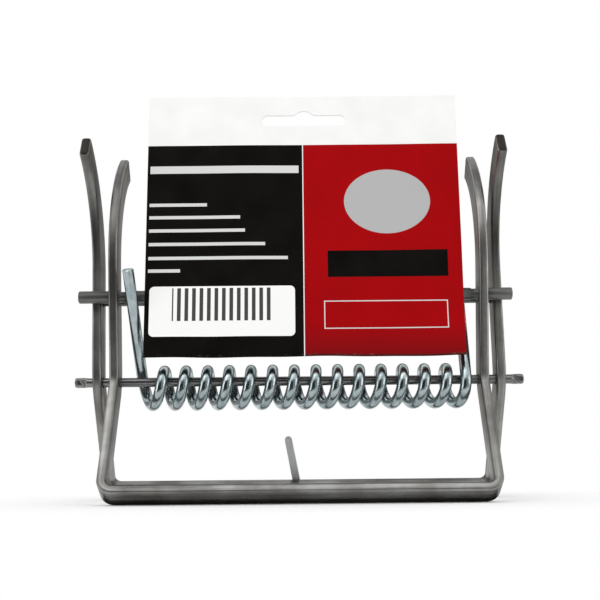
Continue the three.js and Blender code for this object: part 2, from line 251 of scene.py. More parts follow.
# ---------------------------------------------------------------- frames
EDGE_ROUND = 0.8  # radius along the bar. It shrinks at the cut ends, down to EDGE_LEAST
EDGE_SHRINK, EDGE_LEAST = 0.6, 0.05
EDGE_FLAT = 0.02  # what the rounding leaves of half the bar's thickness
EDGE_ARC = 6
END_ROUND = 1.0  # how far from its cut end the bar begins to round off
END_STEPS = 5
CUT_RINGS = 3


def bar_section(inset):
    """Round-edged outline of the flat bar as (wide, thick) pairs, drawn in by inset at the bar's ends."""
    wide, thick = BAR_WIDTH / 2 - inset, BAR_THICKNESS / 2 - inset
    curve = max(min(EDGE_ROUND - inset * EDGE_SHRINK, thick - EDGE_FLAT), EDGE_LEAST)
    points = []
    for sign_w, sign_t, start in ((1, 1, 0.0), (-1, 1, 0.25), (-1, -1, 0.5), (1, -1, 0.75)):
        for k in range(EDGE_ARC + 1):
            angle = TAU * (start + 0.25 * k / EDGE_ARC)
            points.append((
                sign_w * (wide - curve) + curve * math.cos(angle),
                sign_t * (thick - curve) + curve * math.sin(angle),
            ))
    return points


def bar_frame(name, width, facing, left_lean):
    """One flat bar bent into a U with two claws. facing 1 puts its handle in front and its claws behind."""
    half = width / 2 - BAR_THICKNESS / 2
    reach = CLAW_RADIUS * math.tan(CLAW_TURN / 2)
    claw = along(-SHANK_LEAN, SHANK_LENGTH + reach)
    tip_way = along(CLAW_TURN - SHANK_LEAN, reach + TIP_LENGTH)
    tip = (claw[0] + tip_way[0], claw[1] + tip_way[1])
    handle = along(math.pi + HANDLE_LEAN, HANDLE_LENGTH)
    leg = [tip, claw, (0.0, 0.0), handle]
    radii = [0.0, CLAW_RADIUS, KNEE_RADIUS, CORNER_RADIUS]
    right = [Vector((half, y * facing, z)) + PIVOT for y, z in leg]
    left = [
        Vector((-half - left_lean * max(0.0, z / tip[1]), y * facing, z)) + PIVOT for y, z in reversed(leg)
    ]
    stations = carry(rounded_path(right + left, radii + radii[::-1]))
    rings, places = [], []

    def ring_at(point, across, side, inset):
        rings.append([point + across * w + side * t for w, t in bar_section(inset)])
        places.append(point)

    def end_ring(station, way, angle):
        point, tangent, across, side = station
        inset = END_ROUND * (1 - math.sin(angle))
        ring_at(point + tangent * way * (1 - math.cos(angle)), across, side, inset)

    ends = [math.pi / 2 * k / END_STEPS for k in range(END_STEPS + 1)]
    for angle in ends:
        end_ring(stations[0], END_ROUND, angle)
    for point, _, across, side in stations[1:-1]:
        ring_at(point, across, side, 0.0)
    for angle in reversed(ends):
        end_ring(stations[-1], -END_ROUND, angle)
    obj = sweep(name, rings, lengths(places), cut_rings=CUT_RINGS)
    bar_y, bar_z = along(-SHANK_LEAN * facing, STOP_REACH)
    cutters = []
    for sign in (-1, 1):
        inner, outer = sign * (half - BAR_THICKNESS), sign * (half + 2 * BAR_THICKNESS)
        low, high = min(inner, outer), max(inner, outer)
        cutters.append(x_cylinder("cut_rod", ROD_RADIUS + CLEARANCE, low, high, PIVOT.y, PIVOT.z))
        cutters.append(
            x_cylinder("cut_bar", CROSS_RADIUS + CLEARANCE, low, high, PIVOT.y + bar_y, PIVOT.z + bar_z)
        )
    return boolean(obj, cutters)


inner_frame = bar_frame("inner_jaw_bent_bar", INNER_WIDTH, 1, 0.0)
outer_frame = bar_frame("outer_jaw_bent_bar", OUTER_WIDTH, -1, LEFT_LEAN)


# ---------------------------------------------------------------- round bars
STAKE_LENGTH = 4.6  # part of the rod at each end that is drawn in fine rings
STAKE_RINGS = 30
ROD_CHAMFER, CHAMFER_SHARE = 0.35, 0.13
CHAMFER_STEPS = 4
# All measured from the rod's end: where the press and the groove fade out inward, and over what length, and
# over what length they fade in from the end
FLAT_TO, FLAT_FADE, FLAT_RISE = 4.4, 1.6, 0.9
GROOVE_TO, GROOVE_FADE, GROOVE_RISE = 4.0, 1.0, 0.8
FLAT_DEPTH, FLAT_BULGE = 0.26, 0.09  # how much the press flattens the rod and swells it sideways
GROOVE_PLACE, GROOVE_SLANT, GROOVE_WIDTH = 2.5, 1.1, 0.42
GROOVE_DEPTH, GROOVE_PINCH = 0.30, 0.06


def pivot_rod():
    """Straight rod with staked ends: pressed flat front and back, with a slanted groove across each flat.
    xs holds the place of each ring and its share of the full radius."""
    end = ROD_LENGTH / 2
    start = end - STAKE_LENGTH
    half = [(start + (end - ROD_CHAMFER - start) * k / STAKE_RINGS, 1.0) for k in range(STAKE_RINGS + 1)]
    for k in range(1, CHAMFER_STEPS + 1):
        angle = math.pi / 2 * k / CHAMFER_STEPS
        fall = 1 - CHAMFER_SHARE * (1 - math.cos(angle))
        half.append((end - ROD_CHAMFER + ROD_CHAMFER * math.sin(angle), fall))
    between = [(x, 1.0) for x in range(-60, 61, 12)]
    xs = [(-x, fall) for x, fall in reversed(half)] + between + half
    rings = []
    for x, fall in xs:
        away = end - abs(x)
        press = ease((FLAT_TO - away) / FLAT_FADE) * ease(away / FLAT_RISE)
        ring = []
        for y, z in circle(40):
            slant = (away - GROOVE_PLACE) - GROOVE_SLANT * z * (1 if x > 0 else -1)
            groove = math.exp(-(slant / GROOVE_WIDTH) ** 2)
            groove = groove * ease((GROOVE_TO - away) / GROOVE_FADE) * ease(away / GROOVE_RISE)
            deep = ROD_RADIUS * fall * (1 - FLAT_DEPTH * press * abs(y) ** 3 - GROOVE_DEPTH * groove * abs(y))
            tall = ROD_RADIUS * fall * (1 + FLAT_BULGE * press - GROOVE_PINCH * groove * abs(z))
            ring.append(Vector((x, y * deep, z * tall)) + PIVOT)
        rings.append(ring)
    return sweep("pivot_rod_staked", rings, [x for x, _ in xs], sharp=50.0)


def cross_bar(name, left, right, place, necked=False):
    """Round bar with chamfered ends. A necked bar is thinner beside each inner leg."""
    y, z = PIVOT.y + place[0], PIVOT.z + place[1]
    full, chamfer, softening = CROSS_RADIUS, 0.28, 0.1
    stations = [(left, full - chamfer), (left + softening, full - softening), (left + chamfer, full)]
    if necked:
        leg = INNER_WIDTH / 2 - BAR_THICKNESS
        neck, neck_start, neck_end, shoulder = 1.7, 0.4, 1.9, 2.4
        stations += [
            (-leg, full), (-leg + neck_start, neck), (-leg + neck_end, neck), (-leg + shoulder, full),
            (0.0, full),
            (leg - shoulder, full), (leg - neck_end, neck), (leg - neck_start, neck), (leg, full),
        ]
    stations += [(right - chamfer, full), (right - softening, full - softening), (right, full - chamfer)]
    rings = [[Vector((x, y + radius * c, z + radius * s)) for c, s in circle(32)] for x, radius in stations]
    return sweep(name, rings, [x for x, _ in stations], sharp=50.0)


STOP_PLACE = along(-SHANK_LEAN, STOP_REACH)
JAW_BAR_PLACE = along(SHANK_LEAN, STOP_REACH)
JAW_BAR_END = OUTER_WIDTH / 2 - CLEARANCE

rod = pivot_rod()
stop = cross_bar(
    "stop_bar_drawn", STOP_OFFSET - STOP_LENGTH / 2, STOP_OFFSET + STOP_LENGTH / 2, STOP_PLACE, necked=True
)
jaw_bar = cross_bar("outer_jaw_bar_drawn", -JAW_BAR_END, JAW_BAR_END, JAW_BAR_PLACE)


# ---------------------------------------------------------------- torsion spring
COIL_STEPS = 40  # rings in one turn
ARM_STEPS = 44
EASING_ROUNDS = 6
WIRE_CHAMFER = 0.25


def arm_heading(place, towards):
    """Lean of the straight arm that leaves the coil and just touches the bar at place."""
    bar_y, bar_z = place
    rise = bar_z + COIL_DROP
    offset = COIL_RADIUS + WIRE_RADIUS + CROSS_RADIUS + CLEARANCE
    return math.atan2(bar_y, rise) + towards * math.asin(offset / math.hypot(bar_y, rise))


RIGHT_HEADING = arm_heading(JAW_BAR_PLACE, 1)
LEFT_HEADING = arm_heading(STOP_PLACE, -1)


def coil_point(turn):
    """Middle of the wire after a number of turns, counted from the right."""
    angle = turn * TAU
    share = max(0.0, (0.5 - min(turn, COIL_TURNS - turn)) / 0.5)
    x = COIL_RIGHT - COIL_PITCH * turn + COIL_SKEW * math.cos(angle) - COIL_SHIFT * share * share
    return Vector((x, -COIL_RADIUS * math.cos(angle), -COIL_DROP - COIL_RADIUS * math.sin(angle))) + PIVOT


def arm(start, heading, bar, past, splay):
    """Points of a straight arm from the coil to a length past the bar."""
    sin, cos = math.sin(heading), math.cos(heading)
    reach = (bar[0] + PIVOT.y - start.y) * sin + (bar[1] + PIVOT.z - start.z) * cos + past
    points = []
    for k in range(1, ARM_STEPS + 1):
        distance = reach * k / ARM_STEPS
        points.append(start + Vector((splay * distance / reach, sin * distance, cos * distance)))
    return points


def spring_points():
    first = -RIGHT_HEADING / TAU
    last = COIL_TURNS - LEFT_HEADING / TAU
    count = int((last - first) * COIL_STEPS)
    coil = [coil_point(first + (last - first) * k / count) for k in range(count + 1)]
    right = arm(coil[0], RIGHT_HEADING, JAW_BAR_PLACE, RIGHT_PAST, RIGHT_SPLAY)
    left = arm(coil[-1], LEFT_HEADING, STOP_PLACE, LEFT_PAST, -LEFT_SPLAY)
    points = right[::-1] + coil + left
    for _ in range(EASING_ROUNDS):  # eases the sideways step where the coil runs into the arms
        points = [points[0]] + [
            Vector(((a.x + 2 * b.x + c.x) / 4, b.y, b.z)) for a, b, c in zip(points, points[1:], points[2:])
        ] + [points[-1]]
    return points


def torsion_spring():
    points = spring_points()
    path = []
    for index, point in enumerate(points):
        before = points[max(index - 1, 0)]
        after = points[min(index + 1, len(points) - 1)]
        path.append((point, (after - before).normalized()))
    rings, places = [], []

    def ring_at(point, across, side, radius):
        rings.append([point + across * radius * c + side * radius * s for c, s in circle(20)])
        places.append(point)

    stations = carry(path)
    thin = WIRE_RADIUS - WIRE_CHAMFER
    for index, (point, tangent, across, side) in enumerate(stations):
        if index == 0:
            ring_at(point, across, side, thin)
            ring_at(point + tangent * WIRE_CHAMFER, across, side, WIRE_RADIUS)
        elif index == len(stations) - 1:
            ring_at(point - tangent * WIRE_CHAMFER, across, side, WIRE_RADIUS)
            ring_at(point, across, side, thin)
        else:
            ring_at(point, across, side, WIRE_RADIUS)
    return sweep("torsion_spring_wire", rings, lengths(places), sharp=40.0)


spring = torsion_spring()


# ---------------------------------------------------------------- catch tongue and its pin
TONGUE_TAPER = 0.12
TONGUE_ROWS = 26
SOFT_WIDE, SOFT_NARROW = 0.22, 0.07  # softening of its edges
PIN_FOOT = -3.0
HEAD_RADIUS, HEAD_RISE = 1.25, 0.58
HEAD_SEAT, HEAD_EDGE = 1.15, 0.12  # radius of the head's flat underside and height of its rim
HEAD_TIP, HEAD_HEIGHT = 0.12, 0.7

HANDLE_DOWN = Vector((0, math.sin(HANDLE_LEAN), -math.cos(HANDLE_LEAN)))
HANDLE_BACK = Vector((0, math.cos(HANDLE_LEAN), math.sin(HANDLE_LEAN)))
SEAT = PIVOT + HANDLE_DOWN * HANDLE_LENGTH + HANDLE_BACK * (BAR_WIDTH / 2) + Vector((TONGUE_OFFSET, 0, 0))


def on_seat(x, back, up):
    """Point from the pin's place on the far handle bar: to the right, away from the bar, and up along it."""
    return SEAT + Vector((x, 0, 0)) + HANDLE_BACK * back - HANDLE_DOWN * up


def tongue_outline():
    radius = TONGUE_WIDTH / 2
    top = TONGUE_REACH - radius
    right, left = [], []
    for k in range(1, TONGUE_ROWS):
        right.append((radius - TONGUE_TAPER * (k / TONGUE_ROWS), top * k / TONGUE_ROWS))
        left.append((-radius + TONGUE_TAPER * (k / TONGUE_ROWS), top * k / TONGUE_ROWS))
    low_end, top_end = [], []
    for k in range(13):
        angle = math.pi * k / 12
        low_end.append((radius * math.cos(math.pi + angle), radius * math.sin(math.pi + angle)))
        top_end.append(((radius - TONGUE_TAPER) * math.cos(angle), top + radius * math.sin(angle)))
    return low_end + right + top_end + left[::-1]


def catch_tongue():
    """Round-ended strip with an eye, narrower at the top and with softened edges."""
    radius = TONGUE_WIDTH / 2
    top = TONGUE_REACH - radius
    soft = ((SOFT_WIDE, 0.0), (SOFT_NARROW, SOFT_NARROW), (0.0, SOFT_WIDE))
    layers = soft + tuple((inset, TONGUE_THICKNESS - depth) for inset, depth in reversed(soft))
    rings = []
    for inset, depth in layers:
        ring = []
        for x, y in tongue_outline():
            scale_x = (abs(x) - inset * min(abs(x) / radius * 1.4, 1.0)) / max(abs(x), 1e-6)
            grow = inset if y < 0 or y > top else 0.0
            yy = y + grow * (-1 if y > top else 1) * min(abs(y - (top if y > top else 0.0)) / radius, 1.0)
            xx = x * scale_x
            turned_x = xx * math.cos(TONGUE_LEAN) - yy * math.sin(TONGUE_LEAN)
            turned_y = xx * math.sin(TONGUE_LEAN) + yy * math.cos(TONGUE_LEAN)
            ring.append(on_seat(turned_x, CLEARANCE + depth, turned_y))
        rings.append(ring)
    strip = sweep("catch_tongue_strip", rings, [depth for _, depth in layers], sharp=50.0)
    eye = PIN_RADIUS + CLEARANCE
    depths = (-1.0, TONGUE_THICKNESS + 2.0)
    rings = [[on_seat(eye * c, depth, eye * s) for c, s in circle(32)] for depth in depths]
    return boolean(strip, [sweep("cut_eye", rings, [0.0, 3.0])])


def tongue_pin():
    """Pin with a domed head over the tongue."""
    head = CLEARANCE + TONGUE_THICKNESS + CLEARANCE
    profile = [(PIN_RADIUS, PIN_FOOT), (PIN_RADIUS, head), (HEAD_SEAT, head)]
    for k in range(8):
        angle = math.pi / 2 * k / 8
        profile.append((HEAD_RADIUS * math.cos(angle), head + HEAD_EDGE + HEAD_RISE * math.sin(angle)))
    profile.append((HEAD_TIP, head + HEAD_HEIGHT))
    rings = [[on_seat(r * c, height, r * s) for c, s in circle(32)] for r, height in profile]
    return sweep("tongue_pin_headed", rings, [height for _, height in profile], sharp=40.0)


tongue = catch_tongue()
pin = tongue_pin()


# ---------------------------------------------------------------- hang card
CARD_UP = Vector((0, math.sin(CARD_LEAN), math.cos(CARD_LEAN)))
CARD_IN = Vector((0, math.cos(CARD_LEAN), -math.sin(CARD_LEAN)))
CARD_SEAT = PIVOT + Vector((CARD_OFFSET, *STOP_PLACE))
LOOP_HALF = CROSS_RADIUS + CLEARANCE + CARD_THICKNESS / 2
CREASE = 0.4
CREASE_STEPS = 8
CARD_ROWS = 60  # on the face, and again behind it
CARD_COLUMNS = 68
INSIDE_LEVEL = -150.0  # where the sheet's bare inside and edges lie in the flow map

BOWS = ((0.26, 83.0, 0.6), (0.10, 31.0, 2.1))  # height, length and phase of each bow across the card
EDGE_WAVES = ((0.16, 57.0, 1.0), (0.07, 23.0, 0.0))  # the same for its lower edge
EDGE_LIFT = 0.23  # keeps that edge above the plain card's
# Where each sets in, in millimetres above or below the bar, and over what height it grows
BOWS_FROM, BOWS_OVER = 4.0, 12.0
CALM_FROM, CALM_OVER = 30.0, 30.0
WAVES_FROM, WAVES_OVER = 10.0, 10.0

SLOT_END, SLOT_REACH = 1.9, 13.8 - 1.9
HUMP_RADIUS, HUMP_RISE = 3.4, 1.6
SLOT_OFFSET, SLOT_BELOW_TOP = 0.5, 8.5
SLOT_FRONT, SLOT_BACK = -8.0, 4.0
SLOT_SHIFT = 3.0


def card_path():
    """Middle line of the sheet as (back, up) from the stop bar: down the face, round the crease, up behind
    the bar and on to the glued part."""
    face = -LOOP_HALF
    top, bottom = CARD_HEIGHT - CARD_BELOW, CREASE + CARD_THICKNESS / 2 - CARD_BELOW
    points = [(face, top + (bottom - top) * k / CARD_ROWS) for k in range(CARD_ROWS + 1)]
    for k in range(1, CREASE_STEPS + 1):
        angle = math.pi + math.pi * k / CREASE_STEPS
        points.append((face + CREASE + CREASE * math.cos(angle), bottom + CREASE * math.sin(angle)))
    behind = face + 2 * CREASE
    glued = face + CARD_THICKNESS + 0.02
    for k in range(1, CARD_ROWS + 1):
        up = bottom + (top - bottom) * k / CARD_ROWS
        if up < -CROSS_RADIUS:
            share = ease((up - bottom) / (-CROSS_RADIUS - bottom))
            back = behind + (LOOP_HALF - behind) * math.sin(math.pi / 2 * share)
        elif up < CROSS_RADIUS:
            back = LOOP_HALF
        else:
            back = LOOP_HALF + (glued - LOOP_HALF) * ease((up - CROSS_RADIUS) / (CARD_JOIN - CROSS_RADIUS))
        points.append((back, up))
    return points


def waves(x, rows):
    return sum(height * math.sin(TAU * x / length + phase) for height, length, phase in rows)


def card_point(x, back, up):
    """Point of the card. Its lower edge is slightly wavy, and the sheet bows a little away from the bar."""
    up = up + ease((-up - WAVES_FROM) / WAVES_OVER) * (waves(x, EDGE_WAVES) + EDGE_LIFT)
    calm = 1.0 - 0.6 * ease((up - CALM_FROM) / CALM_OVER)
    bow = ease((abs(up) - BOWS_FROM) / BOWS_OVER) * calm * waves(x, BOWS)
    return CARD_SEAT + Vector((x, 0, 0)) + CARD_IN * (back + bow) + CARD_UP * up


def hang_card():
    path = card_path()
    count = len(path)
    travel = [0.0]
    for (a0, b0), (a1, b1) in zip(path, path[1:]):
        travel.append(travel[-1] + math.hypot(a1 - a0, b1 - b0))
    fold = travel[CARD_ROWS]
    xs = [-CARD_WIDTH / 2 + CARD_WIDTH * k / CARD_COLUMNS for k in range(CARD_COLUMNS + 1)]
    half = CARD_THICKNESS / 2
    outside, inside = [], []
    for index, (back, up) in enumerate(path):
        b0, u0 = path[max(index - 1, 0)]
        b1, u1 = path[min(index + 1, count - 1)]
        size = math.hypot(b1 - b0, u1 - u0)
        normal = ((u1 - u0) / size, -(b1 - b0) / size)  # points away from the card's middle
        outside.append((back + normal[0] * half, up + normal[1] * half))
        inside.append((back - normal[0] * half, up - normal[1] * half))
    verts = [card_point(x, back, up) for layer in (outside, inside) for back, up in layer for x in xs]
    width = CARD_COLUMNS + 1
    faces, uvs = [], []

    def quad(cells, printed=False):
        """Face over four (layer, row, column) corners, in the flow map's printed or bare part."""
        faces.append(tuple((layer * count + row) * width + column for layer, row, column in cells))
        start = fold if printed else INSIDE_LEVEL
        uvs.append([(xs[column] / FLOW_UNIT, (start - travel[row]) / FLOW_UNIT) for _, row, column in cells])

    right, last = CARD_COLUMNS, count - 1
    for row in range(last):
        low = row + 1
        for column in range(CARD_COLUMNS):
            after = column + 1
            quad(((0, row, column), (0, row, after), (0, low, after), (0, low, column)), printed=True)
            quad(((1, row, column), (1, low, column), (1, low, after), (1, row, after)))
        quad(((0, row, 0), (0, low, 0), (1, low, 0), (1, row, 0)))
        quad(((0, row, right), (1, row, right), (1, low, right), (0, low, right)))
    for column in range(CARD_COLUMNS):
        after = column + 1
        quad(((0, 0, column), (1, 0, column), (1, 0, after), (0, 0, after)))
        quad(((0, last, column), (0, last, after), (1, last, after), (1, last, column)))
    card = new_object("hang_card_folded", verts, faces, uvs, sharp=35.0)
    return boolean(card, [slot_cutter()], sharp=35.0)


def slot_cutter():
    """Round-ended slot with a hump in the middle of its top edge."""
    outline = []
    for k in range(17):
        angle = -math.pi / 2 + math.pi * k / 16
        outline.append((SLOT_REACH + SLOT_END * math.cos(angle), SLOT_END * math.sin(angle)))
    outline.append((HUMP_RADIUS, SLOT_END))
    for k in range(17):
        angle = math.pi / 4 + math.pi / 2 * k / 16
        height = SLOT_END + HUMP_RISE - HUMP_RADIUS + HUMP_RADIUS * math.sin(angle)
        outline.append((HUMP_RADIUS * math.cos(angle), height))
    outline.append((-HUMP_RADIUS, SLOT_END))
    for k in range(17):
        angle = math.pi / 2 + math.pi * k / 16
        outline.append((-SLOT_REACH + SLOT_END * math.cos(angle), SLOT_END * math.sin(angle)))
    level = CARD_HEIGHT - CARD_BELOW - SLOT_BELOW_TOP
    rings = []
    for back in (SLOT_FRONT, SLOT_BACK):
        rings.append([
            CARD_SEAT + Vector((SLOT_OFFSET + x, 0, 0)) + CARD_IN * back + CARD_UP * (level + y)
            for x, y in outline
        ])
    cutter = sweep("cut_slot", rings, [0.0, SLOT_BACK - SLOT_FRONT])
    for corner in cutter.data.uv_layers["flow"].data:
        corner.uv.y -= SLOT_SHIFT  # keeps the print off the slot's walls
    return cutter


card = hang_card()


# ---------------------------------------------------------------- node helpers
def bare_material(name):
    """New material with an output node alone. Returns it with its tree and that node's surface socket."""
    made = bpy.data.materials.new(name)
    made.use_nodes = True
    tree = made.node_tree
    tree.nodes.clear()
    return made, tree, tree.nodes.new("ShaderNodeOutputMaterial").inputs["Surface"]


def principled(name):
    made, tree, surface = bare_material(name)
    shader = tree.nodes.new("ShaderNodeBsdfPrincipled")
    tree.links.new(shader.outputs["BSDF"], surface)
    return made, tree, shader


def plug(tree, socket, value):
    if isinstance(value, bpy.types.NodeSocket):
        tree.links.new(value, socket)
    else:
        socket.default_value = value


def flow_map(tree):
    made = tree.nodes.new("ShaderNodeUVMap")
    made.uv_map = "flow"
    return made.outputs["UV"]


def object_place(tree):
    return tree.nodes.new("ShaderNodeTexCoord").outputs["Object"]


def parts(tree, vector):
    made = tree.nodes.new("ShaderNodeSeparateXYZ")
    tree.links.new(vector, made.inputs[0])
    return made.outputs


def maths(tree, operation, *values):
    made = tree.nodes.new("ShaderNodeMath")
    made.operation = operation
    for socket, value in zip(made.inputs, values):
        plug(tree, socket, value)
    return made.outputs[0]


def weighted(tree, *pairs):
    """Sum of two (socket, weight) pairs."""
    return maths(tree, "ADD", *(maths(tree, "MULTIPLY", socket, weight) for socket, weight in pairs))


def mapped(tree, source, scale):
    made = tree.nodes.new("ShaderNodeMapping")
    made.inputs["Scale"].default_value = scale
    tree.links.new(source, made.inputs["Vector"])
    return made.outputs[0]


def noise(tree, vector, scale, detail, rough, distortion=0.0):
    made = tree.nodes.new("ShaderNodeTexNoise")
    tree.links.new(vector, made.inputs["Vector"])
    made.inputs["Scale"].default_value = scale
    made.inputs["Detail"].default_value = detail
    made.inputs["Roughness"].default_value = rough
    made.inputs["Distortion"].default_value = distortion
    return made.outputs["Fac"]


def ramp(tree, value, stops):
    made = tree.nodes.new("ShaderNodeValToRGB")
    elements = made.color_ramp.elements
    while len(elements) < len(stops):
        elements.new(0.5)
    for element, (place, colour) in zip(elements, stops):
        element.position = place
        element.color = (*colour, 1.0)
    tree.links.new(value, made.inputs["Fac"])
    return made.outputs["Color"]


def spread(tree, value, low, high, to_low, to_high):
    made = tree.nodes.new("ShaderNodeMapRange")
    for socket, number in zip(made.inputs[1:5], (low, high, to_low, to_high)):
        socket.default_value = number
    tree.links.new(value, made.inputs[0])
    return made.outputs[0]


def mix(tree, factor, a, b):
    made = tree.nodes.new("ShaderNodeMix")
    made.data_type = "RGBA"
    plug(tree, made.inputs["Factor"], factor)
    for socket, value in ((made.inputs[6], a), (made.inputs[7], b)):
        plug(tree, socket, value if isinstance(value, bpy.types.NodeSocket) else (*value, 1.0))
    return made.outputs[2]


def bump(tree, shader, height, strength, distance):
    made = tree.nodes.new("ShaderNodeBump")
    made.inputs["Strength"].default_value = strength
    made.inputs["Distance"].default_value = distance
    tree.links.new(height, made.inputs["Height"])
    tree.links.new(made.outputs["Normal"], shader.inputs["Normal"])


# ---------------------------------------------------------------- materials
FINE_STREAKS = (2.2, 85.0, 1.0)  # features in one flow unit along the bar and across it
WIDE_STREAKS = (1.3, 34.0, 1.0)
WIRE_STREAKS = (4.0, 90.0, 1.0)
STREAK_SHARE = 0.62
CUT_LEVEL = -5.0  # the flow map lies below this on cut ends
CUT_SHADE, CUT_DULLNESS = 0.85, 0.2


def steel(name, dark, middle, light, rough=(0.30, 0.46), seed=0.0, metal=1.0):
    """Drawn steel: streaks that run along the bar, with broad dull blotches over them and darker cut ends."""
    made, tree, shader = principled(name)
    flow = flow_map(tree)
    place = object_place(tree)
    moved = tree.nodes.new("ShaderNodeVectorMath")
    moved.operation = "ADD"
    tree.links.new(flow, moved.inputs[0])
    moved.inputs[1].default_value = (seed, seed * 1.7, 0.0)
    fine = noise(tree, mapped(tree, moved.outputs[0], FINE_STREAKS), 1.0, 6.0, 0.65)
    wide = noise(tree, mapped(tree, moved.outputs[0], WIDE_STREAKS), 1.0, 3.0, 0.5, 0.3)
    blotch = noise(tree, place, 55.0, 4.0, 0.6)
    grain = noise(tree, place, 900.0, 3.0, 0.6)
    streaks = weighted(tree, (fine, 0.45), (wide, 0.55))
    level = weighted(tree, (streaks, STREAK_SHARE), (blotch, 1.0 - STREAK_SHARE))
    colour = ramp(tree, level, ((0.355, dark), (0.5, middle), (0.645, light)))
    cut = maths(tree, "LESS_THAN", parts(tree, flow)[1], CUT_LEVEL)
    colour = mix(tree, cut, colour, tuple(CUT_SHADE * value for value in dark))
    tree.links.new(colour, shader.inputs["Base Color"])
    dull = spread(tree, level, 0.3, 0.7, rough[1], rough[0])
    dull = maths(tree, "ADD", dull, maths(tree, "MULTIPLY", cut, CUT_DULLNESS))
    tree.links.new(dull, shader.inputs["Roughness"])
    shader.inputs["Metallic"].default_value = metal
    bump(tree, shader, weighted(tree, (fine, 0.7), (grain, 0.3)), 0.25, 0.00006)
    return made


def zinc(name):
    """Glossy bluish plating with faint clouds and drawing marks."""
    made, tree, shader = principled(name)
    cloud = noise(tree, object_place(tree), 240.0, 4.0, 0.6)
    drawn = noise(tree, mapped(tree, flow_map(tree), WIRE_STREAKS), 1.0, 4.0, 0.6)
    level = weighted(tree, (cloud, 0.6), (drawn, 0.4))
    stops = ((0.34, (0.22, 0.285, 0.30)), (0.5, (0.37, 0.435, 0.45)), (0.66, (0.52, 0.575, 0.58)))
    tree.links.new(ramp(tree, level, stops), shader.inputs["Base Color"])
    tree.links.new(spread(tree, level, 0.3, 0.7, 0.27, 0.14), shader.inputs["Roughness"])
    shader.inputs["Metallic"].default_value = 1.0
    bump(tree, shader, level, 0.3, 0.00008)
    return made


# The print in millimetres: x from the card's middle, v up the face from the fold, and down behind it
WHITE, WHITE_WORN = (0.86, 0.86, 0.85), (0.80, 0.80, 0.78)
BLACK, BLACK_WORN = (0.004, 0.003, 0.0025), (0.007, 0.006, 0.005)
RED, RED_WORN = (0.345, 0.0015, 0.003), (0.31, 0.0015, 0.003)
# The darker red near the fold is painted shade.
RED_FOLD_SHADE, RED_BEHIND = (0.16, 0.004, 0.006), (0.05, 0.012, 0.010)
PALE, BADGE, STRIPE = (0.62, 0.62, 0.61), (0.42, 0.42, 0.42), (0.06, 0.06, 0.06)
FOLD_WORN = (0.30, 0.29, 0.28)
PANEL_TOP = 71.0
BLACK_PANEL = (-60.0, -0.18, -PANEL_TOP, PANEL_TOP)
RED_PANEL = (0.12, 60.0, -PANEL_TOP, PANEL_TOP)
TITLE_LINE = (-50.0, -1.4, 61.2, 63.8)
TEXT_LINES = ((50.3, -31.3), (46.0, -20.5), (41.5, -18.9), (36.9, -12.4), (32.2, -5.1), (28.0, -39.7))
WHITE_BOX, BOX_ROUND = (-49.4, -2.9, 6.2, 22.8), 1.6
STRIPES, STRIPE_RATE = (-42.1, -10.3, 11.4, 22.2), 0.42
BADGE_PLACE, BADGE_HALF = (27.3, 51.1), (14.0, 11.0)
BLACK_BOX = (7.7, 46.3, 25.5, 34.4)
RULED_BOX, RULE = (6.5, 45.6, 8.6, 17.5), 0.34


